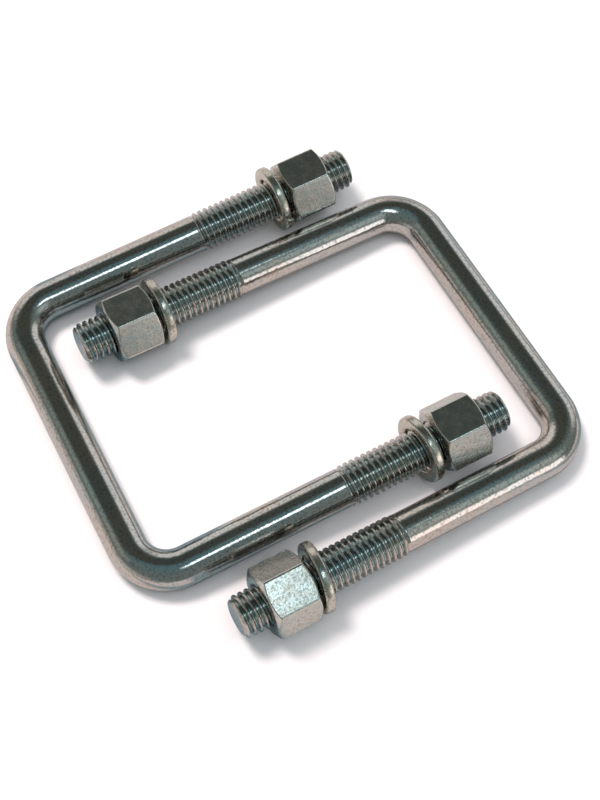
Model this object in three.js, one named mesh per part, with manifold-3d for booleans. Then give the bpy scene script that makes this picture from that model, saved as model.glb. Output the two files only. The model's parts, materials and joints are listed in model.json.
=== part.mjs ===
// A pair of square U-bolts with their hex nuts and split lock washers, lying loose on a flat
// surface, nested head to tail so that the legs of one pass between the legs of the other.
//
// Units are millimetres and degrees. +Z is up and the surface is at Z = 0. X runs along the legs.
// Each U-bolt is drawn in its own frame: the crossbar's axis lies on Y, the legs run along +X and
// the frame's origin is the middle of the crossbar. Each leg has a frame of its own as well: Z runs
// from the crossbar's axis to the leg's tip, X points to the U-bolt's top side, and angles about
// the leg are measured from X.

import * as THREE from 'three';
import { mergeVertices } from 'three/addons/utils/BufferGeometryUtils.js';
import Module from 'manifold-3d';

const wasm = await Module();
wasm.setup();

// The rod: an unthreaded shank, thinner than the thread by SHANK_REDUCTION, bent twice, with a
// rolled thread on each leg. The thread's depth is a share of its pitch.
const THREAD_DIAMETER = 12.7;
const THREADS_PER_INCH = 13;
const THREAD_DEPTH_SHARE = 0.614;
const THREAD_LENGTH = 50.8;
const THREAD_RUNOUT_TURNS = 1.5;
const SHANK_REDUCTION = 0.85;
const INSIDE_WIDTH = 85;
const INSIDE_DEPTH = 109.8;
const BEND_INSIDE_RADIUS = 6.8;
const TIP_CHAMFER = 1.2;

// The hex nuts. Their walls are measured from the thread to the middle of a flat.
const NUT_WALL = 3.175;
const NUT_THICKNESS = 14.3;
const NUT_CHAMFER_DEPTH = 0.6;
const NUT_CHAMFER_ANGLE = 30;
const NUT_COUNTERSINK = 0.7;
const THREAD_CLEARANCE = 0.3;

// The split lock washers: a flat-sided ring cut through once, with its two ends sprung apart.
const WASHER_WIDTH = 3.6;
const WASHER_THICKNESS = 2.9;
const WASHER_EDGE = 0.6;
const WASHER_SPRING = 1.0;
const WASHER_SPLIT_ANGLE = 7;
const WASHER_CLEARANCE = 0.6;

// How the two U-bolts are nested: the gap from one's tips to the other's crossbar, the gap from
// one's nuts to the other's legs, and the small angle that each is turned by.
const NEST_TIP_GAP = 8.85;
const NEST_SIDE_GAP = 3.07;
const NEST_SKEW = 1.1;

// Where the loose pieces stand on each leg: past is how far the tip stands out of the nut, gap is
// from the nut to the washer, nutTurn turns the nut's flats, splitAt is the angle of the washer's
// split, and the washer leans by lean towards leanTo.
const BOLTS = [
  {
    name: 'bolt_a',
    side: -1,
    legs: [
      { name: 'front', y: -1, past: 8.5, gap: 2.6, nutTurn: 0, splitAt: 200, lean: 7, leanTo: 50 },
      { name: 'rear', y: 1, past: 8.2, gap: 1.2, nutTurn: 0, splitAt: 80, lean: 2, leanTo: 50 },
    ],
  },
  {
    name: 'bolt_b',
    side: 1,
    legs: [
      { name: 'front', y: 1, past: 8.1, gap: 1.0, nutTurn: -17.4, splitAt: 160, lean: 5, leanTo: 270 },
      { name: 'rear', y: -1, past: 9.4, gap: 0.7, nutTurn: 3, splitAt: 200, lean: 0, leanTo: 0 },
    ],
  },
];

// Fineness of the round shapes.
const SIDES = 12;
const BEND_STEPS = 7;
const WASHER_STEPS = 24;
const LATHE_STEPS = 24;

// Sizes that follow from the ones above.
const PITCH = 25.4 / THREADS_PER_INCH;
const THREAD_DEPTH = THREAD_DEPTH_SHARE * PITCH;
const CREST_RADIUS = THREAD_DIAMETER / 2;
const ROOT_RADIUS = CREST_RADIUS - THREAD_DEPTH;
const SHANK_RADIUS = (THREAD_DIAMETER - SHANK_REDUCTION) / 2;
const BEND_RADIUS = BEND_INSIDE_RADIUS + SHANK_RADIUS;
const LEG_OFFSET = INSIDE_WIDTH / 2 + SHANK_RADIUS;
const LEG_LENGTH = SHANK_RADIUS + INSIDE_DEPTH;
const THREAD_START = LEG_LENGTH - THREAD_LENGTH;
const WASHER_BORE_RADIUS = CREST_RADIUS + WASHER_CLEARANCE;
const WASHER_RADIUS = WASHER_BORE_RADIUS + WASHER_WIDTH;
const WASHER_HEIGHT = WASHER_THICKNESS + WASHER_SPRING;
const NUT_APOTHEM = CREST_RADIUS + NUT_WALL;
const NUT_CORNER_RADIUS = NUT_APOTHEM / Math.cos(Math.PI / 6);
const NEST_LENGTH = LEG_LENGTH + NEST_TIP_GAP + SHANK_RADIUS;
const NEST_SHIFT = Math.max(NUT_CORNER_RADIUS, WASHER_RADIUS) + NEST_SIDE_GAP + SHANK_RADIUS;

const radians = THREE.MathUtils.degToRad;

function geometryOf(vertices, triangles) {
  const geometry = new THREE.BufferGeometry();
  geometry.setAttribute('position', new THREE.Float32BufferAttribute(vertices.flat(), 3));
  geometry.setIndex(triangles.flat());
  return geometry;
}

// Turns a closed geometry into a solid that can be joined and cut.
function toSolid(geometry) {
  const bare = geometry.clone();
  bare.deleteAttribute('normal');
  bare.deleteAttribute('uv');
  const merged = mergeVertices(bare, 1e-5);
  return new wasm.Manifold(new wasm.Mesh({
    numProp: 3,
    vertProperties: new Float32Array(merged.attributes.position.array),
    triVerts: new Uint32Array(merged.index.array),
  }));
}

function toGeometry(solid) {
  const mesh = solid.getMesh();
  const geometry = new THREE.BufferGeometry();
  geometry.setAttribute('position', new THREE.BufferAttribute(mesh.vertProperties, 3));
  geometry.setIndex(new THREE.BufferAttribute(mesh.triVerts, 1));
  geometry.computeVertexNormals();
  return geometry;
}

// A closed body through a row of rings with the same number of points. Seen from the last ring,
// the points of each ring run anticlockwise.
function loft(rings) {
  const count = rings[0].length;
  const vertices = rings.flat();
  const triangles = [];
  for (let ring = 0; ring + 1 < rings.length; ring += 1) {
    for (let point = 0; point < count; point += 1) {
      const next = (point + 1) % count;
      const a = ring * count + point;
      const b = ring * count + next;
      triangles.push([a, b, b + count], [a, b + count, a + count]);
    }
  }
  const last = (rings.length - 1) * count;
  for (let point = 1; point + 1 < count; point += 1) {
    triangles.push([0, point + 1, point], [last, last + point, last + point + 1]);
  }
  return geometryOf(vertices, triangles);
}

// A solid of revolution about Z from a profile of [radius, height] points, from its lower end on
// the axis to its upper end on the axis.
function turned(profile) {
  const points = profile.map(([radius, height]) => new THREE.Vector2(radius, height));
  return new THREE.LatheGeometry(points, LATHE_STEPS).rotateX(Math.PI / 2);
}

// A right-hand screw thread about Z with a V profile. Its crests stand at
// z = phase + PITCH * (angle / one turn + whole turns). It covers low to high and ends in a ramp of
// one turn beyond each. crestAt gives the crest's radius at a height.
function threadedBar({ low, high, phase, root, crestAt }) {
  const first = Math.floor((low - phase) / PITCH) - 1;
  const turns = Math.ceil((high - phase) / PITCH) + 1 - first;
  const steps = turns * SIDES;
  const vertices = [];
  for (let step = 0; step <= steps + SIDES; step += 1) {
    const angle = (step / SIDES) * 2 * Math.PI;
    const crestHeight = phase + PITCH * (first + step / SIDES);
    const rootHeight = crestHeight + PITCH / 2;
    const crest = crestAt(crestHeight);
    vertices.push([crest * Math.cos(angle), crest * Math.sin(angle), crestHeight]);
    vertices.push([root * Math.cos(angle), root * Math.sin(angle), rootHeight]);
  }
  const crestVertex = (step) => 2 * step;
  const rootVertex = (step) => 2 * step + 1;
  const triangles = [];
  const face = (a, b, c, d) => triangles.push([a, b, c], [a, c, d]);
  for (let step = 0; step < steps; step += 1) {
    const above = step + SIDES;
    face(crestVertex(step), crestVertex(step + 1), rootVertex(step + 1), rootVertex(step));
    face(rootVertex(step), rootVertex(step + 1), crestVertex(above + 1), crestVertex(above));
  }
  const bottom = vertices.push([0, 0, phase + PITCH * first]) - 1;
  const top = vertices.push([0, 0, phase + PITCH * (first + turns + 1)]) - 1;
  for (let step = 0; step < SIDES; step += 1) {
    triangles.push([bottom, crestVertex(step + 1), crestVertex(step)]);
    triangles.push([top, crestVertex(steps + step), crestVertex(steps + step + 1)]);
  }
  triangles.push([bottom, crestVertex(0), rootVertex(0)]);
  triangles.push([bottom, rootVertex(0), crestVertex(SIDES)]);
  triangles.push([top, crestVertex(steps + SIDES), rootVertex(steps)]);
  triangles.push([top, rootVertex(steps), crestVertex(steps)]);
  return compact(vertices, triangles);
}

// Leaves out the vertices that no triangle uses.
function compact(vertices, triangles) {
  const numbers = new Map();
  const kept = [];
  const renumbered = triangles.map((corners) => corners.map((corner) => {
    if (!numbers.has(corner)) {
      numbers.set(corner, kept.push(vertices[corner]) - 1);
    }
    return numbers.get(corner);
  }));
  return geometryOf(kept, renumbered);
}

// From a leg's frame to its U-bolt's frame: Z goes to +X, X goes to +Z and Y goes to -Y.
function legFrame(side) {
  const frame = new THREE.Group();
  frame.position.set(0, side * LEG_OFFSET, 0);
  frame.rotation.set(0, Math.PI / 2, Math.PI);
  frame.updateMatrix();
  return frame;
}

// The bent shank, from where one leg's thread begins, round the crossbar, to the other leg's.
function shank() {
  const straight = LEG_OFFSET - BEND_RADIUS;
  const stations = [];
  const leg = (side) => [
    { x: THREAD_START + THREAD_DEPTH, y: side * LEG_OFFSET, radius: ROOT_RADIUS },
    { x: THREAD_START, y: side * LEG_OFFSET, radius: SHANK_RADIUS },
  ].map((station) => ({ ...station, heading: side > 0 ? Math.PI : 0 }));
  stations.push(...leg(1));
  for (const side of [1, -1]) {
    for (let step = 0; step <= BEND_STEPS; step += 1) {
      const turn = (Math.PI / 2) * (step / BEND_STEPS + (side > 0 ? 0 : 1));
      stations.push({
        x: BEND_RADIUS * (1 - Math.sin(turn)),
        y: side * straight + BEND_RADIUS * Math.cos(turn),
        radius: SHANK_RADIUS,
        heading: Math.PI + turn,
      });
    }
  }
  stations.push(...leg(-1).reverse());
  return loft(stations.map(({ x, y, radius, heading }) => (
    Array.from({ length: SIDES }, (_, side) => {
      const angle = (side / SIDES) * 2 * Math.PI;
      const across = radius * Math.cos(angle);
      const up = radius * Math.sin(angle);
      return [x - across * Math.sin(heading), y + across * Math.cos(heading), up];
    })
  )));
}

// One leg's thread, in the leg's frame, with its tip turned down to the root of the thread.
function legThread() {
  const runout = THREAD_RUNOUT_TURNS * PITCH;
  const inside = SHANK_RADIUS - THREAD_DEPTH / 10;
  const bar = threadedBar({
    low: THREAD_START - runout,
    high: LEG_LENGTH,
    phase: 0,
    root: ROOT_RADIUS,
    crestAt: (height) => {
      const risen = THREE.MathUtils.clamp((height - THREAD_START + runout) / runout, 0, 1);
      return THREE.MathUtils.lerp(inside, CREST_RADIUS, risen);
    },
  });
  const blankStart = THREAD_START - runout - PITCH;
  const blankRadius = CREST_RADIUS + THREAD_DEPTH;
  const blank = turned([
    [0, blankStart],
    [blankRadius, blankStart],
    [blankRadius, LEG_LENGTH - TIP_CHAMFER - THREAD_DEPTH],
    [CREST_RADIUS - TIP_CHAMFER, LEG_LENGTH],
    [0, LEG_LENGTH],
  ]);
  return toGeometry(toSolid(bar).intersect(toSolid(blank)));
}

function rodGeometry() {
  const thread = legThread();
  let solid = toSolid(shank());
  for (const side of [1, -1]) {
    solid = solid.add(toSolid(thread.clone().applyMatrix4(legFrame(side).matrix)));
  }
  return toGeometry(solid);
}

// A hex nut in its own frame, with its bearing face at Z = 0. seat and turn are its place on the
// leg, which its thread has to match.
function nutGeometry(seat, turn) {
  const hexagon = new THREE.Shape(Array.from({ length: 6 }, (_, index) => {
    const angle = radians(30 + 60 * index);
    return new THREE.Vector2(Math.cos(angle), Math.sin(angle)).multiplyScalar(NUT_CORNER_RADIUS);
  }));
  const prism = new THREE.ExtrudeGeometry(hexagon, { depth: NUT_THICKNESS, bevelEnabled: false });

  const chamferRadius = NUT_APOTHEM - NUT_CHAMFER_DEPTH;
  const beyond = NUT_CORNER_RADIUS + 1;
  const fall = (beyond - chamferRadius) * Math.tan(radians(NUT_CHAMFER_ANGLE));
  const chamfers = turned([
    [0, 0],
    [chamferRadius, 0],
    [beyond, fall],
    [beyond, NUT_THICKNESS - fall],
    [chamferRadius, NUT_THICKNESS],
    [0, NUT_THICKNESS],
  ]);

  // The tap's flat sides stand outside the thread's round surface, so the clearance is kept
  // however far the nut is turned.
  const outward = 1 / Math.cos(Math.PI / SIDES);
  const tapRoot = (ROOT_RADIUS + THREAD_CLEARANCE) * outward;
  const tapCrest = (CREST_RADIUS + THREAD_CLEARANCE) * outward;
  const tap = threadedBar({
    low: -PITCH,
    high: NUT_THICKNESS + PITCH,
    phase: (PITCH * turn) / 360 - seat,
    root: tapRoot,
    crestAt: () => tapCrest,
  });
  const mouth = tapCrest + NUT_COUNTERSINK / 2;
  const throat = mouth - NUT_COUNTERSINK - 1;
  const countersinks = [
    turned([[0, -1], [mouth + 1, -1], [throat, NUT_COUNTERSINK + 1], [0, NUT_COUNTERSINK + 1]]),
    turned([
      [0, NUT_THICKNESS - NUT_COUNTERSINK - 1],
      [throat, NUT_THICKNESS - NUT_COUNTERSINK - 1],
      [mouth + 1, NUT_THICKNESS + 1],
      [0, NUT_THICKNESS + 1],
    ]),
  ];
  let solid = toSolid(prism).intersect(toSolid(chamfers));
  for (const cutter of [tap, ...countersinks]) {
    solid = solid.subtract(toSolid(cutter));
  }
  return toGeometry(solid);
}

// A split lock washer in its own frame, standing from Z = 0, with its split at angle 0. Its ends
// are sprung apart along a left-hand helix, so that they bite when a right-hand nut loosens.
function washerGeometry() {
  const section = [
    [WASHER_BORE_RADIUS, 0],
    [WASHER_RADIUS - WASHER_EDGE, 0],
    [WASHER_RADIUS, WASHER_EDGE],
    [WASHER_RADIUS, WASHER_THICKNESS - WASHER_EDGE],
    [WASHER_RADIUS - WASHER_EDGE, WASHER_THICKNESS],
    [WASHER_BORE_RADIUS, WASHER_THICKNESS],
  ];
  const start = radians(WASHER_SPLIT_ANGLE / 2);
  const sweep = 2 * Math.PI - 2 * start;
  const rings = [];
  for (let step = 0; step <= WASHER_STEPS; step += 1) {
    const share = step / WASHER_STEPS;
    const angle = start + sweep * share;
    const lift = WASHER_SPRING * (1 - share);
    rings.push(section.map(([radius, height]) => (
      [radius * Math.cos(angle), radius * Math.sin(angle), height + lift]
    )).reverse());
  }
  return loft(rings);
}

function zincPlate(colour, roughness) {
  return new THREE.MeshStandardMaterial({ color: colour, roughness, metalness: 1 });
}

function piece(name, geometry, material) {
  const mesh = new THREE.Mesh(geometry, material);
  mesh.name = name;
  return mesh;
}

// From the crossbar's axis to the nut's bearing face.
function seatOf(leg) {
  return LEG_LENGTH - leg.past - NUT_THICKNESS;
}

// How far a U-bolt tips up when it lies on its crossbar at one end and its washers at the other:
// the lowest washer edge is as low as the crossbar.
function restingTilt(legs) {
  const contact = Math.min(...legs.map((leg) => seatOf(leg) - leg.gap - WASHER_HEIGHT));
  const reach = Math.hypot(contact, WASHER_RADIUS);
  return Math.atan2(WASHER_RADIUS, contact) - Math.asin(SHANK_RADIUS / reach);
}

function uBolt({ name, side, legs }) {
  const bolt = new THREE.Group();
  bolt.rotation.y = -restingTilt(legs);
  bolt.add(piece(`${name}_rod`, rodGeometry(), zincPlate(0xc3cccb, 0.28)));
  for (const leg of legs) {
    const frame = legFrame(leg.y);
    const seat = seatOf(leg);

    const washer = piece(
      `${name}_${leg.name}_lock_washer`,
      washerGeometry().translate(0, 0, -WASHER_HEIGHT / 2).rotateZ(radians(leg.splitAt - leg.leanTo)),
      zincPlate(0xcfc6b8, 0.34),
    );
    washer.rotation.set(0, -radians(leg.lean), 0);
    const lean = new THREE.Group();
    lean.position.z = seat - leg.gap - WASHER_HEIGHT / 2;
    lean.rotation.z = radians(leg.leanTo);
    lean.add(washer);

    const nut = piece(
      `${name}_${leg.name}_nut`,
      nutGeometry(seat, leg.nutTurn),
      zincPlate(0xb9bfbb, 0.38),
    );
    nut.position.z = seat;
    nut.rotation.z = radians(leg.nutTurn);

    frame.add(lean, nut);
    bolt.add(frame);
  }

  const place = new THREE.Group();
  place.position.set((side * NEST_LENGTH) / 2, (-side * NEST_SHIFT) / 2, SHANK_RADIUS);
  place.rotation.z = side > 0 ? Math.PI + radians(NEST_SKEW) : -radians(NEST_SKEW);
  place.add(bolt);
  return place;
}

const group = new THREE.Group();
group.add(...BOLTS.map(uBolt));

// The origin is the middle of the pair's footprint, on the surface.
group.updateMatrixWorld(true);
const box = new THREE.Box3().setFromObject(group, true);
const middle = box.getCenter(new THREE.Vector3());
group.position.set(-middle.x, -middle.y, -box.min.z);

export default group;
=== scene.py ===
import json
from math import atan, cos, pi, radians, sin, tan, tau

import bpy
import numpy as np
from bpy.props import FloatProperty, FloatVectorProperty, PointerProperty
from mathutils import Matrix, Vector


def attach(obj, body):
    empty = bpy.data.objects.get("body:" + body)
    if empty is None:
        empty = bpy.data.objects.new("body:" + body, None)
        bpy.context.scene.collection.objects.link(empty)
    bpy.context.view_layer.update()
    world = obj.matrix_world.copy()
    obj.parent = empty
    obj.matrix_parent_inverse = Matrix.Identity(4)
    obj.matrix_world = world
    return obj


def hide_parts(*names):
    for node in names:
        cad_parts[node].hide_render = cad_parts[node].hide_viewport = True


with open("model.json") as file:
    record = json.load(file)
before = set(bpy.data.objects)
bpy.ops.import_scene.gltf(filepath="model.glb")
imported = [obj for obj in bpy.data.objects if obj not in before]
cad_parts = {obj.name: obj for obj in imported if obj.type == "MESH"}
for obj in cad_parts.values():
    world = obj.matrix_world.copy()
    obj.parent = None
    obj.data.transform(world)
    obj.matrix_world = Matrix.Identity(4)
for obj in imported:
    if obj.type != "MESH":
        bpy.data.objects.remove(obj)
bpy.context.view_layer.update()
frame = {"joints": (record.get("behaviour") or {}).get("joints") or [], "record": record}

bl_info = {
    "name": "Square U-bolt pair",
    "version": (1, 0, 0),
    "blender": (4, 5, 0),
    "location": "3D View > Sidebar > U-bolt",
    "description": "Bright zinc U-bolts with rolled threads, hex nuts and split lock washers",
    "category": "Object",
}

# Where the loose pieces stand on each leg, in the words and values of the design: the nut's flats are
# turned by nut_turn, the washer stands washer_gap in front of the nut with its split at split_at, and
# it leans by lean towards lean_to. Lengths are in metres, angles in degrees about the leg.
LEGS = {
    "bolt_a_front": dict(nut_turn=0, washer_gap=0.0026, split_at=200, lean=7, lean_to=50),
    "bolt_a_rear": dict(nut_turn=0, washer_gap=0.0012, split_at=80, lean=2, lean_to=50),
    "bolt_b_front": dict(nut_turn=-17.4, washer_gap=0.0010, split_at=160, lean=5, lean_to=270),
    "bolt_b_rear": dict(nut_turn=3, washer_gap=0.0007, split_at=200, lean=0, lean_to=0),
}
BOLTS = {"u_bolt_a": "bolt_a", "u_bolt_b": "bolt_b"}

# Fineness of the surfaces.
THREAD_COLUMNS = 72
THREAD_ROWS_PER_TURN = 14
BEND_ROWS = 40
STRAIGHT_ROWS = 12
NUT_THREAD_ROWS_PER_TURN = 8
FLAT_COLUMNS = 13
CORNER_COLUMNS = 6
FILLET_ROWS = 4
WASHER_ROWS = 120

# Shares of the pitch taken by half of a thread's flat crest and half of its flat root.
CREST_SHARE = 0.10
ROOT_SHARE = 0.13

# How much steeper than a straight flank the thread's flank is at its two ends.
FLANK_STEEPENING = 0.18

# Where a row of points beside a rounded corner stands, in radii of the rounding.
ROUNDING_HOLD = 1.35

# A tip's rounded rim takes over from its chamfer at this share of a quarter turn, in so many rings.
# Two rings hold its end face flat: one in radii of the rim, one in metres in from the edge.
RIM_START = 0.35
RIM_RINGS = 4
RIM_HOLD = 1.6
TIP_INNER_RING = 0.0028

# How far short of a rounded corner the last column of a nut's flat stands, in radii of the rounding.
FLAT_MARGIN = 0.4

# The nut's bevel at each mouth reaches this share of its depth beyond the thread.
MOUTH_SHARE = 0.6

# Distances in metres from a nut's corners and edges at which the brighter colour of their painted highlight
# and wear begins to fade and is gone.
CORNER_HIGHLIGHT_AND_WEAR = (0.0002, 0.0011)
EDGE_HIGHLIGHT_AND_WEAR = (0.0001, 0.0006)

# Share of a washer's turn, at each end, over which its section is turned to the slant of the cut.
CUT_REACH = 0.12


def length(name, description, default):
    """A size in metres, as an add-on property."""
    return FloatProperty(
        name=name, description=description, default=default, precision=6, subtype="DISTANCE", unit="LENGTH"
    )


def angle(name, description, degrees):
    """An angle, as an add-on property."""
    return FloatProperty(
        name=name, description=description, default=radians(degrees), subtype="ANGLE", unit="ROTATION"
    )


def share(name, description, default, highest=1.0):
    """A plain number, as an add-on property."""
    return FloatProperty(
        name=name, description=description, default=default, min=0.0, max=highest, subtype="FACTOR"
    )


def colour(name, description, default):
    """A linear colour, as an add-on property."""
    return FloatVectorProperty(
        name=name, description=description, default=default, size=3, min=0.0, soft_max=1.0, subtype="COLOR"
    )


class RodSizes(bpy.types.PropertyGroup):
    """Sizes of the bent rod and of its threads."""

    thread_diameter: length("Thread diameter", "Over the crests of the thread", 0.01264)
    pitch: length("Pitch", "From one crest to the next, 13 to the inch", 0.0254 / 13)
    thread_depth: length("Thread depth", "From crest to root", 0.0012)
    thread_length: length("Thread length", "Full thread on each leg", 0.0508)
    runout: length("Run-out", "Length over which the thread fades into the shank", 0.0029)
    shank_diameter: length("Shank diameter", "Plain part of the rod", 0.01183)
    inside_depth: length("Inside depth", "From the crossbar's inner side to the tips", 0.10981)
    bend_radius: length("Bend radius", "Centre line of the two bends", 0.012725)
    tip_chamfer: length("Tip chamfer", "How far the tips are turned down", 0.0012)
    tip_rounding: length("Tip rounding", "Radius between chamfer and end face", 0.0003)


class NutSizes(bpy.types.PropertyGroup):
    """Sizes of the hex nuts."""

    across_flats: length("Across flats", "Spanner size", 0.01905)
    thickness: length("Thickness", "Height of the nut", 0.0143)
    chamfer_depth: length("Chamfer depth", "How far the chamfer cuts in from the flats", 0.0006)
    chamfer_angle: angle("Chamfer angle", "Slope of the chamfers", 30)
    corner_rounding: length("Corner rounding", "Radius of the six corners", 0.0008)
    edge_rounding: length("Edge rounding", "Radius of the chamfers' edges", 0.0003)
    countersink: length("Countersink", "Depth of the bevel at each mouth of the thread", 0.0008)
    running_gap: length("Running gap", "From the rod's thread to the nut's", 0.00012)


class WasherSizes(bpy.types.PropertyGroup):
    """Sizes of the split lock washers."""

    bore_gap: length("Bore gap", "From the thread to the bore", 0.0006)
    width: length("Width", "Width of the section", 0.0036)
    thickness: length("Thickness", "Thickness of the section", 0.0029)
    spring: length("Spring", "How far the two ends stand apart", 0.0010)
    edge_rounding: length("Edge rounding", "Radius of the section's corners", 0.0008)
    split: angle("Split", "Opening of the split", 7)
    cut_slant: angle("Cut slant", "Slope of the cut through the ring", 20)


class ZincFinish(bpy.types.PropertyGroup):
    """Colours of the zinc plate."""

    rod_cool: colour("Rod, cool", "Cooler patches of the rods", (0.64, 0.61, 0.58))
    rod_warm: colour("Rod, warm", "Warmer patches of the rods", (0.72, 0.62, 0.55))
    nut_cool: colour("Nut, cool", "Cooler patches of the nuts", (0.60, 0.61, 0.57))
    nut_warm: colour("Nut, warm", "Warmer patches of the nuts", (0.70, 0.62, 0.54))
    washer_cool: colour("Washer, cool", "Cooler patches of the washers", (0.66, 0.62, 0.54))
    washer_warm: colour("Washer, warm", "Warmer patches of the washers", (0.80, 0.70, 0.58))
    nut_mark: colour("Nut, marks", "Tool marks on the nuts", (0.42, 0.50, 0.50))
    # Painted highlight with some wear: the brighter colour laid on the nuts' corners and edges.
    nut_highlight_and_wear: colour("Nut, worn", "Worn corners and edges of the nuts", (0.86, 0.80, 0.72))
    # Painted shade: a dark colour laid on the threads inside the nuts.
    nut_bore_shade: colour("Nut, bore", "Dark zinc in the nuts' threads", (0.22, 0.25, 0.25))
    washer_mark: colour("Washer, marks", "Tool marks on the washers", (0.45, 0.42, 0.38))
    # Painted shade: a darker teal tint that the rods' colour is multiplied by at the roots of the thread.
    valley_shade: colour("Thread valley", "Tint at the bottom of the threads", (0.58, 0.75, 0.79))
    speck: share("Specks", "Strength of the dark specks", 0.34)


class StudioSettings(bpy.types.PropertyGroup):
    """The floor, the lights and the camera."""

    floor: colour("Floor", "Colour of the floor", (0.92, 0.895, 0.915))
    # Painted shade: the floor as the metal mirrors it is dimmed all over, and darker and bluer still in
    # bands between the legs.
    floor_mirrored: share("Floor in reflections", "How bright the metal sees the floor", 0.60)
    floor_shade_between: colour("Floor between legs", "How the metal sees it between two legs", (0.25, 0.35, 0.39))
    key: FloatProperty(name="Key light", description="Power of the soft key light in watts", default=9.5)
    fill: FloatProperty(name="Fill light", description="Power of the overhead light in watts", default=7.5)
    panels: share("Panels", "Strength of the studio's light panels", 1.0, highest=4.0)
    azimuth: angle("Camera azimuth", "Direction of the camera about the vertical", -32.67)
    elevation: angle("Camera elevation", "Height of the camera over the floor", 63.65)
    roll: angle("Camera roll", "Turn of the camera about its own axis", 4.31)
    distance: length("Camera distance", "From the camera to the point it looks at", 0.4204)
    lens: FloatProperty(name="Lens", description="Focal length in millimetres", default=62.19)


# ------------------------------------------------------------------------------------------------
# Places taken from the frame


def unit(vector):
    """A vector of length one in the same direction."""
    return vector / np.linalg.norm(vector)


def leg_axes(leg):
    """The tip and the axes of a leg: Z runs to the tip, X to the bolt's top side, and Y is Z cross X."""
    mount = next(item for item in frame["record"]["mounts"] if item["name"] == f"{leg}_tip")
    z = unit(np.array(mount["axis"], float))
    x = unit(np.array([0.0, 0.0, 1.0]) - z * z[2])
    return np.array(mount["pos_m"], float), np.stack([x, np.cross(z, x), z])


def nut_seat(leg):
    """The middle of the nut's bearing face, from the nut's joint."""
    joint = next(item for item in frame["joints"] if item["name"] == f"{leg}_nut_spin")
    return np.array(joint["pos_m"], float)


def turn_about_z(degrees):
    """Rows of a frame turned about its own Z by an angle."""
    a = radians(degrees)
    return np.array([[cos(a), sin(a), 0.0], [-sin(a), cos(a), 0.0], [0.0, 0.0, 1.0]])


def turn_about_y(degrees):
    """Rows of a frame turned about its own Y by an angle."""
    a = radians(degrees)
    return np.array([[cos(a), 0.0, -sin(a)], [0.0, 1.0, 0.0], [sin(a), 0.0, cos(a)]])


# ------------------------------------------------------------------------------------------------
# Meshes from grids of points


def grid_faces(rows, columns, ring=False):
    """Quads between the rows of a grid whose columns close round. With ring, the rows close too."""
    row = np.arange(rows if ring else rows - 1)[:, None]
    column = np.arange(columns)[None, :]
    above = (row + 1) % rows
    beside = (column + 1) % columns
    here, following = row * columns, above * columns
    quads = [here + column, here + beside, following + beside, following + column]
    return np.stack(quads, axis=-1).reshape(-1, 4)


def fan_faces(centre, first, count, forward):
    """Triangles from a centre point to a closed row of points."""
    here = first + np.arange(count)
    following = first + (np.arange(count) + 1) % count
    middle = np.full(count, centre)
    order = [middle, following, here] if forward else [middle, here, following]
    return np.stack(order, axis=-1)


def signed_volume(points, faces):
    """Volume inside the faces, negative when they point inwards."""
    total = 0.0
    for corner in range(1, faces.shape[1] - 1):
        a, b, c = points[faces[:, 0]], points[faces[:, corner]], points[faces[:, corner + 1]]
        total += np.einsum("ij,ij->", a, np.cross(b, c)) / 6
    return total


def make_piece(name, points, face_sets, attributes, body, node, material):
    """A named mesh that rides on a body in place of its CAD node."""
    middle = points.mean(axis=0)
    if sum(signed_volume(points - middle, faces) for faces in face_sets) < 0:
        face_sets = [faces[:, ::-1] for faces in face_sets]
    mesh = bpy.data.meshes.new(name)
    corners = np.concatenate([faces.ravel() for faces in face_sets])
    sizes = np.concatenate([np.full(len(faces), faces.shape[1]) for faces in face_sets])
    starts = np.concatenate([[0], np.cumsum(sizes)[:-1]])
    mesh.vertices.add(len(points))
    mesh.vertices.foreach_set("co", points.astype(np.float32).ravel())
    mesh.loops.add(len(corners))
    mesh.loops.foreach_set("vertex_index", corners.astype(np.int32))
    mesh.polygons.add(len(sizes))
    mesh.polygons.foreach_set("loop_start", starts.astype(np.int32))
    mesh.update(calc_edges=True)
    if mesh.validate():
        raise RuntimeError(f"{name} has faces that Blender had to mend")
    mesh.shade_smooth()
    for label, values in attributes.items():
        layer = mesh.attributes.new(label, "FLOAT", "POINT")
        layer.data.foreach_set("value", values.astype(np.float32).ravel())
    mesh.materials.append(material)
    piece = bpy.data.objects.new(name, mesh)
    bpy.context.scene.collection.objects.link(piece)
    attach(piece, body)
    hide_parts(node)
    return piece


def eased(low, high, value):
    """A smooth step from 0 at low to 1 at high: 3t^2 - 2t^3."""
    t = np.clip((value - low) / (high - low), 0.0, 1.0)
    return t * t * (3 - 2 * t)


def rounded_profile(corners, radii, steps):
    """A polyline with its corners rounded, for many profiles at once.

    corners is (corner, profile, 2) and radii has one distance for each corner: a corner P is replaced
    by the quadratic curve with control points P - r*t0, P and P + r*t1, where t0 and t1 are the unit
    directions in and out, plus one point just outside each end of the curve to keep the flats flat.
    """
    rows = []
    for index, radius in enumerate(radii):
        point = corners[index]
        if radius == 0:
            rows.append(point)
            continue
        into = point - corners[index - 1]
        out = corners[index + 1] - point
        into /= np.linalg.norm(into, axis=-1, keepdims=True)
        out /= np.linalg.norm(out, axis=-1, keepdims=True)
        rows.append(point - ROUNDING_HOLD * radius * into)
        start, end = point - radius * into, point + radius * out
        for t in np.linspace(0, 1, steps + 1):
            rows.append((1 - t) ** 2 * start + 2 * t * (1 - t) * point + t**2 * end)
        rows.append(point + ROUNDING_HOLD * radius * out)
    return np.array(rows)


# ------------------------------------------------------------------------------------------------
# The rods


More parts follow.
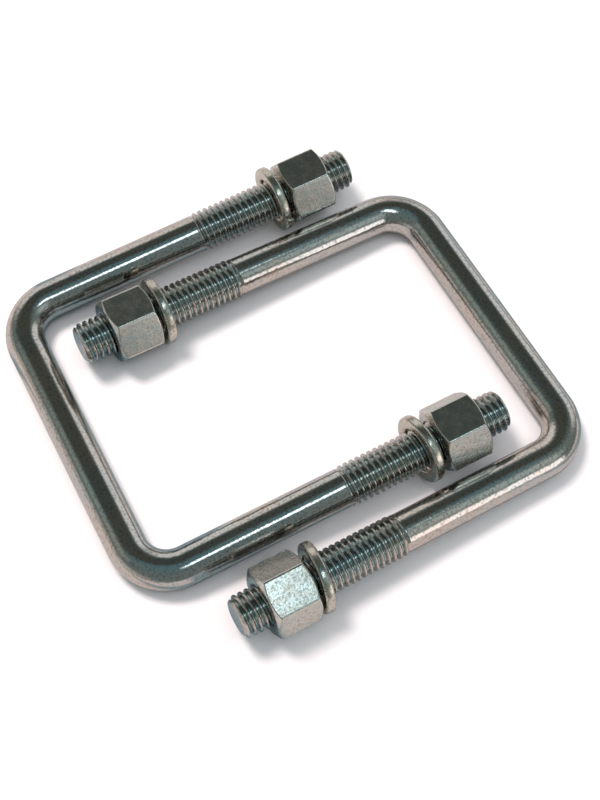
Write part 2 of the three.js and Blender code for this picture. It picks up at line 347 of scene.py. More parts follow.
def thread_fall(turns):
    """How deep a thread is at a number of turns from a crest: 0 on the crest's flat, 1 on the root's.

    With f rising evenly from flat to flat and s the steepening, it is f - s * f * (1 - f) * (2f - 1).
    """
    from_crest = np.abs(turns - np.round(turns))
    fall = np.clip((from_crest - CREST_SHARE) / (0.5 - ROOT_SHARE - CREST_SHARE), 0.0, 1.0)
    return fall - FLANK_STEEPENING * fall * (1 - fall) * (2 * fall - 1)


def rod_radius(rod, angles, height):
    """Radius of a leg at an angle and a height over the crossbar's axis, and how near it is to a crest.

    Radius is the shank's up to the run-out, then crest minus depth times fall, and at the tip no more
    than the 45 degree chamfer allows.
    """
    tip = rod.shank_diameter / 2 + rod.inside_depth
    start = tip - rod.thread_length
    fall = thread_fall(height / rod.pitch - angles / tau)
    threaded = rod.thread_diameter / 2 - rod.thread_depth * fall
    strength = eased(start - rod.runout, start, height)
    radius = rod.shank_diameter / 2 + (threaded - rod.shank_diameter / 2) * strength
    chamfer = rod.thread_diameter / 2 - rod.tip_chamfer + (tip - height)
    crest = 1 - fall * strength
    return np.minimum(radius, chamfer), crest


def rod_path(rod, leg_offset):
    """Stations of a rod's centre line from one tip to the other, in its own plane.

    The path is a leg, a quarter circle, the crossbar, a quarter circle and the other leg. Each station
    has a place along the legs, a place across them and a heading. Also gives a leg's number of
    stations, from its tip to the start of its bend.
    """
    tip = rod.shank_diameter / 2 + rod.inside_depth
    start = tip - rod.thread_length - rod.runout
    bend = rod.bend_radius
    rows = int(round((tip - start) / rod.pitch * THREAD_ROWS_PER_TURN))
    heights = np.concatenate([
        np.linspace(tip, start, rows + 1),
        np.linspace(start, bend, STRAIGHT_ROWS + 1)[1:],
    ])
    turns = np.linspace(0, pi / 2, BEND_ROWS + 1)[1:]
    straight = leg_offset - bend
    across = np.linspace(straight, 0, STRAIGHT_ROWS + 1)[1:]
    along = np.concatenate([heights, bend * (1 - np.sin(turns)), np.zeros(len(across))])
    aside = np.concatenate([
        np.full(len(heights), leg_offset), straight + bend * np.cos(turns), across,
    ])
    heading = np.concatenate([np.full(len(heights), 0.0), turns, np.full(len(across), pi / 2)])
    half = np.stack([along, aside, heading], axis=-1)
    back = half[-2::-1] * [1, -1, -1] + [0, 0, pi]
    return np.concatenate([half, back]), len(heights)


def make_rod(context, body, bolt):
    """One bent rod: a ring of points at each station, carried along the centre line.

    A ring's point is centre + radius * (cos(a) * up + sin(a) * side), where side is the heading cross
    up. The tips are closed by a rounded rim, a flat face and a pole.
    """
    rod = context.scene.u_bolt_rod
    tips = {leg: leg_axes(f"{bolt}_{leg}") for leg in ("front", "rear")}
    (front_tip, axes), (rear_tip, _) = tips["front"], tips["rear"]
    up, outward = axes[0], axes[2]
    leg_offset = np.linalg.norm(front_tip - rear_tip) / 2
    towards_front = unit(front_tip - rear_tip)
    tip_height = rod.shank_diameter / 2 + rod.inside_depth
    origin = (front_tip + rear_tip) / 2 - outward * tip_height

    path, leg_rows = rod_path(rod, leg_offset)
    count = len(path)
    centre = origin + path[:, :1] * outward + path[:, 1:2] * towards_front
    heading = -np.cos(path[:, 2:3]) * outward - np.sin(path[:, 2:3]) * towards_front
    side = np.cross(heading, up)
    sign = np.where(np.arange(count) < leg_rows, -1.0, 1.0)[:, None]
    height = path[:, :1]
    around = np.linspace(0, tau, THREAD_COLUMNS, endpoint=False)[None, :]
    radius, crest = rod_radius(rod, around * sign, height)
    on_leg = (np.arange(count) < leg_rows) | (np.arange(count) >= count - leg_rows)
    radius = np.where(on_leg[:, None], radius, rod.shank_diameter / 2)
    crest = np.where(on_leg[:, None], crest, 1.0)

    def rings(middles, sides, radii):
        spokes = np.cos(around)[..., None] * up + np.sin(around)[..., None] * sides[:, None, :]
        return middles[:, None, :] + radii[..., None] * spokes

    def end_rings(row):
        rim = rod.tip_rounding
        turns = np.linspace(RIM_START, 1, RIM_RINGS) * pi / 2
        inward = np.concatenate([rim * (1 - np.cos(turns)), [RIM_HOLD * rim, TIP_INNER_RING]])
        forward = np.concatenate([rim * (np.sin(turns) - 1), [0.0, 0.0]])
        away = outward * forward[:, None]
        radii = np.minimum(radius[row][None, :], radius[row].min()) - inward[:, None]
        return rings(centre[row] + away, np.repeat(side[row : row + 1], len(inward), axis=0), radii)

    body_rings = rings(centre, side, radius)
    first_end, last_end = end_rings(0)[::-1], end_rings(count - 1)
    grid = np.concatenate([first_end, body_rings[1:-1], last_end])
    rows = len(grid)
    points = np.concatenate([grid.reshape(-1, 3), centre[:1], centre[-1:]])
    extra = np.ones((len(first_end), THREAD_COLUMNS))
    crests = np.concatenate([extra, crest[1:-1], extra]).ravel()
    make_piece(
        f"{bolt}_zinc_rod",
        points,
        [
            grid_faces(rows, THREAD_COLUMNS),
            fan_faces(rows * THREAD_COLUMNS, 0, THREAD_COLUMNS, True),
            fan_faces(rows * THREAD_COLUMNS + 1, (rows - 1) * THREAD_COLUMNS, THREAD_COLUMNS, False),
        ],
        {"crest": np.concatenate([crests, [1.0, 1.0]])},
        body,
        f"{bolt}_rod",
        rod_zinc(context),
    )


# ------------------------------------------------------------------------------------------------
# The nuts


def hexagon_radius(nut, angles):
    """Distance from the axis to a hexagon with rounded corners, whose first flat faces angle 0.

    On a flat it is apothem / cos(a). Near a corner it is the far side of a circle of the rounding
    radius, centred on the line to the corner: c cos(d) + sqrt(q^2 - c^2 sin(d)^2).
    """
    apothem = nut.across_flats / 2
    rounding = nut.corner_rounding
    from_flat = np.abs((angles + pi / 6) % (pi / 3) - pi / 6)
    flat = apothem / np.cos(from_flat)
    centre = (apothem - rounding) / cos(pi / 6)
    from_corner = pi / 6 - from_flat
    under = np.maximum(rounding**2 - (centre * np.sin(from_corner)) ** 2, 0.0)
    corner = centre * np.cos(from_corner) + np.sqrt(under)
    tangent = pi / 6 - atan((apothem * tan(pi / 6) - rounding * tan(pi / 6)) / apothem)
    return np.where(from_corner < tangent, corner, flat)


def hexagon_angles(nut):
    """Angles of the columns: close together round each corner, wide apart on the flats."""
    apothem = nut.across_flats / 2
    half = apothem * tan(pi / 6) - nut.corner_rounding * tan(pi / 6)
    edge = atan(half / apothem)
    near = atan((half - FLAT_MARGIN * nut.corner_rounding) / apothem)
    flat = np.arctan(np.linspace(-tan(near), tan(near), FLAT_COLUMNS))
    corner = np.linspace(edge, pi / 3 - edge, CORNER_COLUMNS)
    sector = np.concatenate([flat, corner])
    return (np.arange(6)[:, None] * pi / 3 + sector[None, :]).ravel()


def make_nut(context, leg):
    """One hex nut: a profile in radius and height for each column, closed through the threaded bore.

    The outer corners of each profile are where the 30 degree chamfer meets the hexagon in that
    column, so the chamfers' arched edges come out on the flats. The bore is the rod's thread with a
    running gap.
    """
    rod, nut = context.scene.u_bolt_rod, context.scene.u_bolt_nut
    tip, axes = leg_axes(leg)
    seat = nut_seat(leg)
    tip_height = rod.shank_diameter / 2 + rod.inside_depth
    seat_height = tip_height - np.dot(tip - seat, axes[2])
    turn = LEGS[leg]["nut_turn"]
    angles = hexagon_angles(nut)
    columns = len(angles)

    outer = hexagon_radius(nut, angles)
    face_radius = nut.across_flats / 2 - nut.chamfer_depth
    fall = (outer - face_radius) * tan(nut.chamfer_angle)
    top = nut.thickness
    mouth = rod.thread_diameter / 2 + MOUTH_SHARE * nut.countersink
    zeros = np.zeros(columns)
    corners = np.array([
        np.stack([zeros + mouth, zeros + top], -1),
        np.stack([zeros + face_radius, zeros + top], -1),
        np.stack([outer, top - fall], -1),
        np.stack([outer, fall], -1),
        np.stack([zeros + face_radius, zeros], -1),
        np.stack([zeros + mouth, zeros], -1),
    ])
    ends = np.array([
        corners[0] + [-nut.countersink, -nut.countersink],
        corners[-1] + [-nut.countersink, nut.countersink],
    ])
    outline = np.concatenate([ends[:1], corners, ends[1:]])
    edge = nut.edge_rounding
    skin = rounded_profile(outline, [0, edge / 2, edge, edge, edge, edge, edge / 2, 0], FILLET_ROWS)
    skin_radius, skin_height = skin[..., 0], skin[..., 1]

    bore_low, bore_high = nut.countersink, top - nut.countersink
    rows = int(round((bore_high - bore_low) / rod.pitch * NUT_THREAD_ROWS_PER_TURN))
    bore_height = np.linspace(bore_low, bore_high, rows + 1)[:, None]
    leg_angle = angles[None, :] + radians(turn)
    fall_in = thread_fall((bore_height + seat_height) / rod.pitch - leg_angle / tau)
    bore_radius = rod.thread_diameter / 2 + nut.running_gap - rod.thread_depth * fall_in
    radius = np.concatenate([skin_radius[1:-1], bore_radius])
    height = np.concatenate([skin_height[1:-1], np.broadcast_to(bore_height, bore_radius.shape)])

    turned = turn_about_z(turn) @ axes
    local = np.stack([radius * np.cos(angles), radius * np.sin(angles), height], axis=-1)
    points = seat + local.reshape(-1, 3) @ turned

    # Painted highlight with wear: a mask, strongest on the corners and on the chamfers' edges, that makes
    # the colour brighter there.
    from_corner = np.abs((angles % (pi / 3)) - pi / 6) * outer
    corner_highlight_and_wear = 1 - eased(*CORNER_HIGHLIGHT_AND_WEAR, from_corner)
    from_edge = np.minimum(np.abs(height - fall), np.abs(height - (top - fall)))
    edge_highlight_and_wear = 1 - eased(*EDGE_HIGHLIGHT_AND_WEAR, from_edge)
    on_skin = radius > mouth
    highlight_and_wear = np.where(on_skin, np.maximum(edge_highlight_and_wear, corner_highlight_and_wear[None, :] * (radius > face_radius)), 0.0)
    make_piece(
        f"{leg}_zinc_nut",
        points,
        [grid_faces(len(radius), columns, ring=True)],
        {"highlight_and_wear": highlight_and_wear, "skin": on_skin},
        f"{leg}_nut",
        f"{leg}_nut",
        nut_zinc(context),
    )


# ------------------------------------------------------------------------------------------------
# The lock washers


def washer_section(washer, bore):
    """Closed outline of the ring's section in radius and height: a rectangle with rounded corners."""
    half = washer.thickness / 2
    corner = washer.edge_rounding
    inner, outer = bore, bore + washer.width
    places = [
        (inner + corner, -half + corner, pi), (outer - corner, -half + corner, 1.5 * pi),
        (outer - corner, half - corner, 0.0), (inner + corner, half - corner, 0.5 * pi),
    ]
    points = []
    for radius, height, start in places:
        turns = np.linspace(start, start + pi / 2, FILLET_ROWS + 1)
        points.append(np.stack([radius + corner * np.cos(turns), height + corner * np.sin(turns)], -1))
    return np.concatenate(points)


def make_washer(context, leg):
    """One split lock washer: a section carried round the leg along a left-hand helix.

    At a share of the way round from the split, the section's middle stands at a lift of
    spring * (0.5 - share), and near the two ends each point is moved round by the slant of the cut.
    """
    rod, washer = context.scene.u_bolt_rod, context.scene.u_bolt_washer
    place = LEGS[leg]
    _, axes = leg_axes(leg)
    section = washer_section(washer, rod.thread_diameter / 2 + washer.bore_gap)
    count = len(section)
    share_round = np.linspace(0, 1, WASHER_ROWS + 1)[:, None]
    sweep = tau - washer.split
    radius = np.broadcast_to(section[:, 0], (WASHER_ROWS + 1, count))
    lift = washer.spring * (0.5 - share_round)
    height = section[:, 1][None, :] + lift
    near_end = 1 - eased(0.0, CUT_REACH, np.minimum(share_round, 1 - share_round))
    slant = section[:, 1][None, :] * tan(washer.cut_slant) / section[:, 0].mean() * near_end
    angles = washer.split / 2 + sweep * share_round + slant
    local = np.stack([radius * np.cos(angles), radius * np.sin(angles), height], -1).reshape(-1, 3)
    ends = local.reshape(WASHER_ROWS + 1, count, 3)[[0, -1]].mean(axis=1)

    leaned = turn_about_y(-place["lean"]) @ turn_about_z(place["lean_to"])
    turned = turn_about_z(place["split_at"] - place["lean_to"]) @ leaned @ axes
    middle = nut_seat(leg) - axes[2] * (place["washer_gap"] + (washer.thickness + washer.spring) / 2)
    points = middle + np.concatenate([local, ends]) @ turned
    last = WASHER_ROWS * count
    make_piece(
        f"{leg}_zinc_lock_washer",
        points,
        [
            grid_faces(WASHER_ROWS + 1, count),
            fan_faces(len(local), 0, count, True),
            fan_faces(len(local) + 1, last, count, False),
        ],
        {},
        f"{leg}_washer",
        f"{leg}_lock_washer",
        washer_zinc(context),
    )


# ------------------------------------------------------------------------------------------------
# Finishes


def add_node(tree, kind, **settings):
    """A new node with its settings. Names with a capital are input sockets, the others properties."""
    made = tree.nodes.new(kind)
    for name, value in settings.items():
        if name[0].isupper():
            made.inputs[name.replace("_", " ")].default_value = value
        else:
            setattr(made, name, value)
    return made


def blend_colours(tree, factor, first, second, mode="MIX"):
    """A colour mix of two sockets or colours. Gives its result socket.

    A Mix node's sockets for colours are 0, the factor, 6 and 7, the two colours, and output 2.
    """
    made = add_node(tree, "ShaderNodeMix", data_type="RGBA", blend_type=mode)
    for socket, value in zip((made.inputs[0], made.inputs[6], made.inputs[7]), (factor, first, second)):
        if isinstance(value, bpy.types.NodeSocket):
            tree.links.new(value, socket)
        elif isinstance(value, (int, float)):
            socket.default_value = value
        else:
            socket.default_value = (*value, 1.0)[:4]
    return made.outputs[2]


def ranged(tree, value, low, high, to_low=0.0, to_high=1.0):
    """A socket's value carried from one range to another, with a smooth step between."""
    made = add_node(
        tree, "ShaderNodeMapRange", interpolation_type="SMOOTHSTEP",
        From_Min=low, From_Max=high, To_Min=to_low, To_Max=to_high,
    )
    tree.links.new(value, made.inputs["Value"])
    return made.outputs["Result"]


def calculate(tree, operation, first, second):
    """A Math node on two sockets or numbers. Gives its result socket."""
    made = add_node(tree, "ShaderNodeMath", operation=operation)
    for socket, value in zip(made.inputs, (first, second)):
        if isinstance(value, bpy.types.NodeSocket):
            tree.links.new(value, socket)
        else:
            socket.default_value = value
    return made.outputs[0]


def new_group(name, inputs, outputs):
    """A shader node group with named sockets. Gives the group, its input and its output."""
    group = bpy.data.node_groups.new(name, "ShaderNodeTree")
    for label, kind in inputs:
        group.interface.new_socket(name=label, in_out="INPUT", socket_type=f"NodeSocket{kind}")
    for label, kind in outputs:
        group.interface.new_socket(name=label, in_out="OUTPUT", socket_type=f"NodeSocket{kind}")
    return group, group.nodes.new("NodeGroupInput"), group.nodes.new("NodeGroupOutput")


def plating_group():
    """Zinc plate: slow drifts between two tints, fine dark specks and a grain for roughness and bump."""
    if "zinc_plating" in bpy.data.node_groups:
        return bpy.data.node_groups["zinc_plating"]
    group, source, target = new_group(
        "zinc_plating",
        [("Vector", "Vector"), ("Cool", "Color"), ("Warm", "Color"), ("Patch Scale", "Float"),
         ("Grain Scale", "Float"), ("Specks", "Float"), ("Smooth", "Float"), ("Rough", "Float")],
        [("Color", "Color"), ("Roughness", "Float"), ("Height", "Float")],
    )
    links = group.links
    patches = add_node(group, "ShaderNodeTexNoise", Detail=4.0, Roughness=0.6, Distortion=0.4)
    grain = add_node(group, "ShaderNodeTexNoise", Detail=2.0, Roughness=0.5)
    for noise, scale in ((patches, "Patch Scale"), (grain, "Grain Scale")):
        links.new(source.outputs["Vector"], noise.inputs["Vector"])
        links.new(source.outputs[scale], noise.inputs["Scale"])
    tint = blend_colours(
        group, ranged(group, patches.outputs["Fac"], 0.36, 0.64),
        source.outputs["Cool"], source.outputs["Warm"],
    )
    specks = ranged(group, grain.outputs["Fac"], 0.46, 0.72)
    shade = calculate(group, "SUBTRACT", 1.0, calculate(group, "MULTIPLY", specks, source.outputs["Specks"]))
    grey = add_node(group, "ShaderNodeCombineColor")
    for socket in grey.inputs[:3]:
        links.new(shade, socket)
    links.new(blend_colours(group, 1.0, tint, grey.outputs[0], "MULTIPLY"), target.inputs["Color"])
    mixed = calculate(
        group, "ADD",
        calculate(group, "MULTIPLY", patches.outputs["Fac"], 0.5),
        calculate(group, "MULTIPLY", grain.outputs["Fac"], 0.5),
    )
    spread = add_node(group, "ShaderNodeMapRange", From_Min=0.36, From_Max=0.64)
    links.new(mixed, spread.inputs["Value"])
    links.new(source.outputs["Smooth"], spread.inputs["To Min"])
    links.new(source.outputs["Rough"], spread.inputs["To Max"])
    links.new(spread.outputs["Result"], target.inputs["Roughness"])
    links.new(grain.outputs["Fac"], target.inputs["Height"])
    return group


def scratch_group():
    """Fine tool marks: a noise stretched along one axis and cut to its crests. Gives a mask."""
    if "tool_marks" in bpy.data.node_groups:
        return bpy.data.node_groups["tool_marks"]
    group, source, target = new_group(
        "tool_marks",
        [("Vector", "Vector"), ("Along", "Vector"), ("Amount", "Float")],
        [("Mask", "Float")],
    )
    stretch = add_node(group, "ShaderNodeMapping")
    noise = add_node(group, "ShaderNodeTexNoise", Scale=1.0, Detail=2.0, Roughness=0.5)
    group.links.new(source.outputs["Vector"], stretch.inputs["Vector"])
    group.links.new(source.outputs["Along"], stretch.inputs["Scale"])
    group.links.new(stretch.outputs["Vector"], noise.inputs["Vector"])
    crests = ranged(group, noise.outputs["Fac"], 0.57, 0.70)
    group.links.new(calculate(group, "MULTIPLY", crests, source.outputs["Amount"]), target.inputs["Mask"])
    return group


def place_group(tree, group, **inputs):
    """A node group in a material with its own values, on the piece's Object coordinates."""
    made = tree.nodes.new("ShaderNodeGroup")
    made.node_tree = group
    place = add_node(tree, "ShaderNodeTexCoord")
    tree.links.new(place.outputs["Object"], made.inputs["Vector"])
    for name, value in inputs.items():
        made.inputs[name.replace("_", " ")].default_value = value
    return made


def metal_material(name):
    """A metal with nothing linked yet. Gives the material, its tree and its shader."""
    material = bpy.data.materials.new(name)
    material.use_nodes = True
    tree = material.node_tree
    shader = tree.nodes["Principled BSDF"]
    shader.inputs["Metallic"].default_value = 1.0
    return material, tree, shader


def bumped(tree, shader, height, depth):
    """Links a height to the shader as a bump of a depth in metres."""
    bump = add_node(tree, "ShaderNodeBump", Strength=1.0, Distance=depth)
    tree.links.new(height, bump.inputs["Height"])
    tree.links.new(bump.outputs["Normal"], shader.inputs["Normal"])


def rod_zinc(context):
    """Bright zinc on the rods: glossy, with fine specks, and a painted teal shade at the roots of the
    thread.
    """
    if "rod_zinc_plate" in bpy.data.materials:
        return bpy.data.materials["rod_zinc_plate"]
    finish = context.scene.u_bolt_finish
    material, tree, shader = metal_material("rod_zinc_plate")
    plating = place_group(
        tree, plating_group(), Cool=(*finish.rod_cool, 1), Warm=(*finish.rod_warm, 1),
        Patch_Scale=60.0, Grain_Scale=1300.0, Specks=finish.speck, Smooth=0.08, Rough=0.18,
    )
    crest = add_node(tree, "ShaderNodeAttribute", attribute_name="crest")
    # Painted shade: the colour is darkened towards teal from the crests down to the roots of the thread.
    depth = ranged(tree, crest.outputs["Fac"], 0.1, 0.85)
    valley_shade = blend_colours(tree, depth, tuple(finish.valley_shade), (1.0, 1.0, 1.0))
    tree.links.new(
        blend_colours(tree, 1.0, plating.outputs["Color"], valley_shade, "MULTIPLY"), shader.inputs["Base Color"]
    )
    tree.links.new(plating.outputs["Roughness"], shader.inputs["Roughness"])
    bumped(tree, shader, plating.outputs["Height"], depth=0.000022)
    return material


def nut_zinc(context):
    """Duller zinc on the nuts: mottled flats with tool marks, brighter corners and edges as a painted
    highlight with wear, and painted shade in the bore.
    """
    if "nut_zinc_plate" in bpy.data.materials:
        return bpy.data.materials["nut_zinc_plate"]
    finish = context.scene.u_bolt_finish
    material, tree, shader = metal_material("nut_zinc_plate")
    plating = place_group(
        tree, plating_group(), Cool=(*finish.nut_cool, 1), Warm=(*finish.nut_warm, 1),
        Patch_Scale=420.0, Grain_Scale=1500.0, Specks=0.4, Smooth=0.16, Rough=0.32,
    )
    marks = place_group(tree, scratch_group(), Along=(500.0, 2600.0, 1200.0), Amount=0.35)
    marked = blend_colours(tree, marks.outputs["Mask"], plating.outputs["Color"], tuple(finish.nut_mark))
    highlight_and_wear = add_node(tree, "ShaderNodeAttribute", attribute_name="highlight_and_wear")
    skin = add_node(tree, "ShaderNodeAttribute", attribute_name="skin")
    # Painted highlight with wear: the corners and edges are blended towards the brighter colour.
    edge = calculate(tree, "MULTIPLY", highlight_and_wear.outputs["Fac"], 0.6)
    bright = blend_colours(tree, edge, marked, tuple(finish.nut_highlight_and_wear))
    # Painted shade: the bore, off the outer skin, takes the dark colour.
    shaded_bore = blend_colours(tree, skin.outputs["Fac"], tuple(finish.nut_bore_shade), bright)
    tree.links.new(shaded_bore, shader.inputs["Base Color"])
    tree.links.new(plating.outputs["Roughness"], shader.inputs["Roughness"])
    bumped(tree, shader, plating.outputs["Height"], depth=0.000014)
    return material


def washer_zinc(context):
    """Champagne zinc on the lock washers: satin, with marks across the ring."""
    if "washer_zinc_plate" in bpy.data.materials:
        return bpy.data.materials["washer_zinc_plate"]
    finish = context.scene.u_bolt_finish
    material, tree, shader = metal_material("washer_zinc_plate")
    plating = place_group(
        tree, plating_group(), Cool=(*finish.washer_cool, 1), Warm=(*finish.washer_warm, 1),
        Patch_Scale=300.0, Grain_Scale=1500.0, Specks=0.35, Smooth=0.16, Rough=0.32,
    )
    marks = place_group(tree, scratch_group(), Along=(1800.0, 700.0, 700.0), Amount=0.3)
    marked = blend_colours(tree, marks.outputs["Mask"], plating.outputs["Color"], tuple(finish.washer_mark))
    tree.links.new(marked, shader.inputs["Base Color"])
    tree.links.new(plating.outputs["Roughness"], shader.inputs["Roughness"])
    bumped(tree, shader, plating.outputs["Height"], depth=0.00003)
    return material


# Strips of the floor near the parts that the metal mirrors darker still, as painted shade: the axis across
# the strip, the distance of its middle from the origin and half its width, in metres. Distances along Y
# count on both sides.
MIRRORED_STRIPS = (("Y", 0.0484, 0.004), ("X", -0.046, 0.008), ("X", 0.088, 0.014))

# How far inside and outside its edge a strip begins to fade and is gone, in metres.
STRIP_INSIDE = 0.002
STRIP_OUTSIDE = 0.003


def floor_paint(context):
    """Matt white board with a faint drift of tone; the metal mirrors it as a greyer board, a painted shade,
    with darker blue-grey bands of painted shade near the legs.
    """
    studio = context.scene.u_bolt_studio
    material = bpy.data.materials.new("floor_paint")
    material.use_nodes = True
    tree = material.node_tree
    shader = tree.nodes["Principled BSDF"]
    shader.inputs["Roughness"].default_value = 0.9
    shader.inputs["Specular IOR Level"].default_value = 0.2
    place = add_node(tree, "ShaderNodeTexCoord")
    noise = add_node(tree, "ShaderNodeTexNoise", Scale=9.0, Detail=3.0)
    tree.links.new(place.outputs["Object"], noise.inputs["Vector"])
    tone = tuple(studio.floor)
    darker = tuple(0.985 * part for part in tone)
    mask = ranged(tree, noise.outputs["Fac"], 0.3, 0.7)
    seen = blend_colours(tree, mask, darker, tone)
    path = add_node(tree, "ShaderNodeLightPath")
    dimmed = (studio.floor_mirrored,) * 3
    split = add_node(tree, "ShaderNodeSeparateXYZ")
    tree.links.new(place.outputs["Object"], split.inputs["Vector"])
    across = {"X": split.outputs["X"], "Y": calculate(tree, "ABSOLUTE", split.outputs["Y"], 0.0)}
    shade_strips = 0.0
    for axis, middle, half in MIRRORED_STRIPS:
        distance = calculate(tree, "ABSOLUTE", calculate(tree, "SUBTRACT", across[axis], middle), 0.0)
        inside = ranged(tree, distance, half - STRIP_INSIDE, half + STRIP_OUTSIDE, 1.0, 0.0)
        shade_strips = calculate(tree, "MAXIMUM", inside, shade_strips)
    # Painted shade: rays from the metal see the floor dimmed, and in those bands a darker blue-grey.
    mirrored = blend_colours(tree, shade_strips, dimmed, tuple(studio.floor_shade_between))
    shade = blend_colours(tree, path.outputs["Is Glossy Ray"], (1.0, 1.0, 1.0), mirrored)
    tree.links.new(blend_colours(tree, 1.0, seen, shade, "MULTIPLY"), shader.inputs["Base Color"])
    return material


# ------------------------------------------------------------------------------------------------
# The studio

# The light panels and dark flags round the object. Each has the direction of its middle, azimuth and
# elevation in degrees, its half width and half height in degrees, how soft its edge is, and its
# colour. Azimuth is 0 towards +X and 90 towards +Y. Later ones lie over earlier ones.
PANELS = {
    "overhead_teal": (0, 90, 34, 34, 0.9, (0.10, 0.19, 0.22)),
    "back_flag": (75, 62, 38, 20, 0.35, (0.060, 0.072, 0.066)),
    "back_low": (82, 18, 28, 17, 0.35, (0.74, 0.76, 0.76)),
    "right_low": (22, 20, 24, 15, 0.4, (0.74, 0.80, 0.83)),
    "left_low": (172, 6, 40, 10, 0.7, (0.50, 0.52, 0.50)),
    "left_high": (156, 40, 12, 10, 0.7, (0.26, 0.33, 0.31)),
    "front_window": (-60, 10, 14, 15, 0.3, (1.45, 1.45, 1.48)),
    "front_high": (-50, 44, 15, 12, 0.6, (0.40, 0.50, 0.50)),
    "overhead_strip": (-66, 69.5, 12, 4.6, 0.3, (2.4, 3.0, 3.25)),
}
STUDIO_DARK = (0.16, 0.20, 0.20)

# Power of the panels' outline: 2 is an ellipse, and more is squarer.
PANEL_POWER = 3.0

# The soft square lights: place and width in metres, and tint.
KEY_LIGHT = ((-0.23, 0.37, 1.05), 0.3, (1.0, 0.92, 0.88))
FILL_LIGHT = ((0.0, 0.0, 1.1), 1.4, (1.0, 0.92, 0.90))

# The point of the floor that the camera looks at, and half the floor's width, in metres.
CAMERA_TARGET = (0.001368, -0.003642, 0.0)
FLOOR_HALF = 3.0


def panel_group():
    """The mask of a soft-edged panel in a direction.

    Its outline is a superellipse: with x and y across and up it in half widths and half heights and p
    the power, (|x|^p + |y|^p)^(1/p) is 1.
    """
    group, source, target = new_group(
        "studio_panel",
        [("Vector", "Vector"), ("Middle", "Vector"), ("Across", "Vector"), ("Upward", "Vector"),
         ("Softness", "Float")],
        [("Mask", "Float")],
    )

    def along(name):
        dot = add_node(group, "ShaderNodeVectorMath", operation="DOT_PRODUCT")
        group.links.new(source.outputs["Vector"], dot.inputs[0])
        group.links.new(source.outputs[name], dot.inputs[1])
        return dot.outputs["Value"]

    powers = [
        calculate(group, "POWER", calculate(group, "ABSOLUTE", along(name), 0.0), PANEL_POWER)
        for name in ("Across", "Upward")
    ]
    reach = calculate(group, "POWER", calculate(group, "ADD", *powers), 1 / PANEL_POWER)
    edge = add_node(group, "ShaderNodeMapRange", interpolation_type="SMOOTHSTEP", To_Min=1.0, To_Max=0.0)
    group.links.new(reach, edge.inputs["Value"])
    group.links.new(calculate(group, "SUBTRACT", 1.0, source.outputs["Softness"]), edge.inputs["From Min"])
    group.links.new(calculate(group, "ADD", 1.0, source.outputs["Softness"]), edge.inputs["From Max"])
    facing = calculate(group, "GREATER_THAN", along("Middle"), 0.0)
    group.links.new(calculate(group, "MULTIPLY", edge.outputs["Result"], facing), target.inputs["Mask"])
    return group


def direction(azimuth, elevation):
    """Unit vector of a direction in degrees, azimuth 0 along +X and 90 along +Y."""
    a, e = radians(azimuth), radians(elevation)
    return Vector((cos(a) * cos(e), sin(a) * cos(e), sin(e)))


def make_studio_world(context):
    """Soft light panels round the object, in a studio that is otherwise dark."""
    world = context.scene.world or bpy.data.worlds.new("studio")
    context.scene.world = world
    world.use_nodes = True
    tree = world.node_tree
    tree.nodes.clear()
    place = add_node(tree, "ShaderNodeTexCoord")
    group = panel_group()
    light = None
    for azimuth, elevation, wide, high, softness, tint in PANELS.values():
        middle = direction(azimuth, elevation)
        upward = direction(azimuth, elevation + 90)
        across = middle.cross(upward)
        panel = tree.nodes.new("ShaderNodeGroup")
        panel.node_tree = group
        panel.inputs["Middle"].default_value = middle
        panel.inputs["Across"].default_value = across / sin(radians(wide))
        panel.inputs["Upward"].default_value = upward / sin(radians(high))
        panel.inputs["Softness"].default_value = softness
        tree.links.new(place.outputs["Generated"], panel.inputs["Vector"])
        light = blend_colours(tree, panel.outputs["Mask"], light or STUDIO_DARK, tint)
    background = add_node(tree, "ShaderNodeBackground", Strength=context.scene.u_bolt_studio.panels)
    output = add_node(tree, "ShaderNodeOutputWorld")
    tree.links.new(light, background.inputs["Color"])
    tree.links.new(background.outputs["Background"], output.inputs["Surface"])


def make_floor(context):
    """A wide flat floor under the object."""
    half = FLOOR_HALF
    mesh = bpy.data.meshes.new("floor")
    corners = [(-half, -half, 0), (half, -half, 0), (half, half, 0), (-half, half, 0)]
    mesh.from_pydata(corners, [], [(0, 1, 2, 3)])
    mesh.materials.append(floor_paint(context))
    floor = bpy.data.objects.new("floor", mesh)
    context.scene.collection.objects.link(floor)


def make_light(context, name, settings, power):
    """A square soft light that points at the object and doesn't show in its reflections."""
    place, size, tint = settings
    data = bpy.data.lights.new(name, "AREA")
    data.size = size
    data.energy = power
    data.color = tint
    lamp = bpy.data.objects.new(name, data)
    lamp.location = place
    lamp.rotation_euler = Vector(place).to_track_quat("Z", "Y").to_euler()
    lamp.visible_glossy = False
    context.scene.collection.objects.link(lamp)


def make_camera(context):
    """The camera, looking down over one corner of the pair."""
    studio = context.scene.u_bolt_studio
    a, e = studio.azimuth, studio.elevation
    back = Vector((sin(a) * cos(e), -cos(a) * cos(e), sin(e)))
    target = Vector(CAMERA_TARGET)
    turn = back.to_track_quat("Z", "Y").to_matrix() @ Matrix.Rotation(studio.roll, 3, "Z")
    data = bpy.data.cameras.new("camera")
    data.lens = studio.lens
    camera = bpy.data.objects.new("camera", data)
    camera.matrix_world = Matrix.Translation(target + back * studio.distance) @ turn.to_4x4()
    context.scene.collection.objects.link(camera)
    context.scene.camera = camera


# ------------------------------------------------------------------------------------------------
# Operators and panel


class UBOLT_OT_rods(bpy.types.Operator):
    """Make the two bent rods with their rolled threads"""

    bl_idname = "u_bolt.make_rods"
    bl_label = "Make rods"

    def execute(self, context):
        for body, bolt in BOLTS.items():
            make_rod(context, body, bolt)
        return {"FINISHED"}


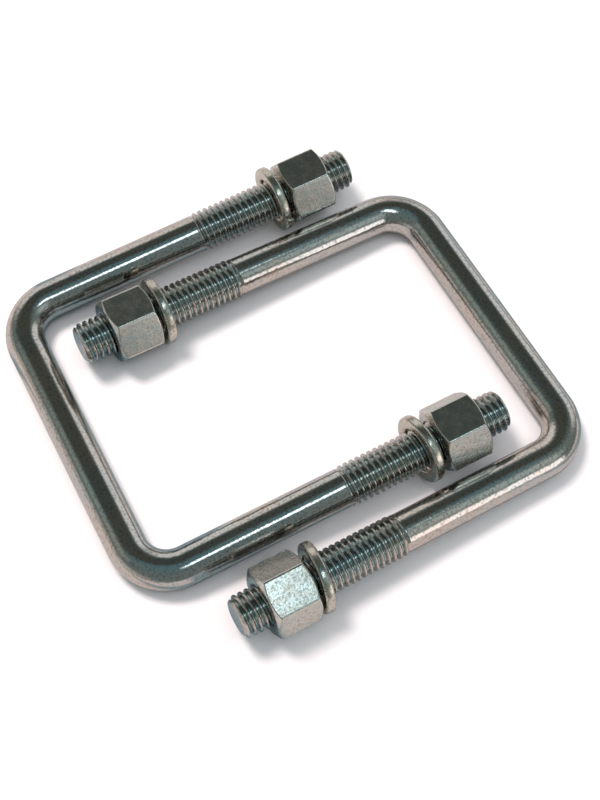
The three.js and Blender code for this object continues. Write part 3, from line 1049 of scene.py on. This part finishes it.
class UBOLT_OT_nuts(bpy.types.Operator):
    """Make the hex nuts"""

    bl_idname = "u_bolt.make_nuts"
    bl_label = "Make nuts"

    def execute(self, context):
        for leg in LEGS:
            make_nut(context, leg)
        return {"FINISHED"}


class UBOLT_OT_washers(bpy.types.Operator):
    """Make the split lock washers"""

    bl_idname = "u_bolt.make_washers"
    bl_label = "Make lock washers"

    def execute(self, context):
        for leg in LEGS:
            make_washer(context, leg)
        return {"FINISHED"}


class UBOLT_OT_stage(bpy.types.Operator):
    """Make the floor, the lights and the camera"""

    bl_idname = "u_bolt.make_stage"
    bl_label = "Make stage"

    def execute(self, context):
        make_floor(context)
        make_studio_world(context)
        studio = context.scene.u_bolt_studio
        make_light(context, "key_light", KEY_LIGHT, studio.key)
        make_light(context, "fill_light", FILL_LIGHT, studio.fill)
        make_camera(context)
        context.scene.view_settings.view_transform = "Standard"
        return {"FINISHED"}


class UBOLT_PT_sidebar(bpy.types.Panel):
    """Buttons for each group of pieces"""

    bl_idname = "UBOLT_PT_sidebar"
    bl_label = "Square U-bolts"
    bl_space_type = "VIEW_3D"
    bl_region_type = "UI"
    bl_category = "U-bolt"

    def draw(self, context):
        for operator in OPERATORS:
            self.layout.operator(operator.bl_idname)


SETTINGS = {
    "u_bolt_rod": RodSizes,
    "u_bolt_nut": NutSizes,
    "u_bolt_washer": WasherSizes,
    "u_bolt_finish": ZincFinish,
    "u_bolt_studio": StudioSettings,
}
OPERATORS = (UBOLT_OT_rods, UBOLT_OT_nuts, UBOLT_OT_washers, UBOLT_OT_stage)


def register():
    """Register the settings, the operators and the panel."""
    for name, group in SETTINGS.items():
        bpy.utils.register_class(group)
        setattr(bpy.types.Scene, name, PointerProperty(type=group))
    for item in (*OPERATORS, UBOLT_PT_sidebar):
        bpy.utils.register_class(item)


def unregister():
    """Take everything back out."""
    for item in reversed((*OPERATORS, UBOLT_PT_sidebar)):
        bpy.utils.unregister_class(item)
    for name, group in SETTINGS.items():
        delattr(bpy.types.Scene, name)
        bpy.utils.unregister_class(group)


def main():
    """Build every piece and the stage."""
    register()
    bpy.ops.u_bolt.make_rods()
    bpy.ops.u_bolt.make_nuts()
    bpy.ops.u_bolt.make_washers()
    bpy.ops.u_bolt.make_stage()


if __name__ == "__main__":
    main()
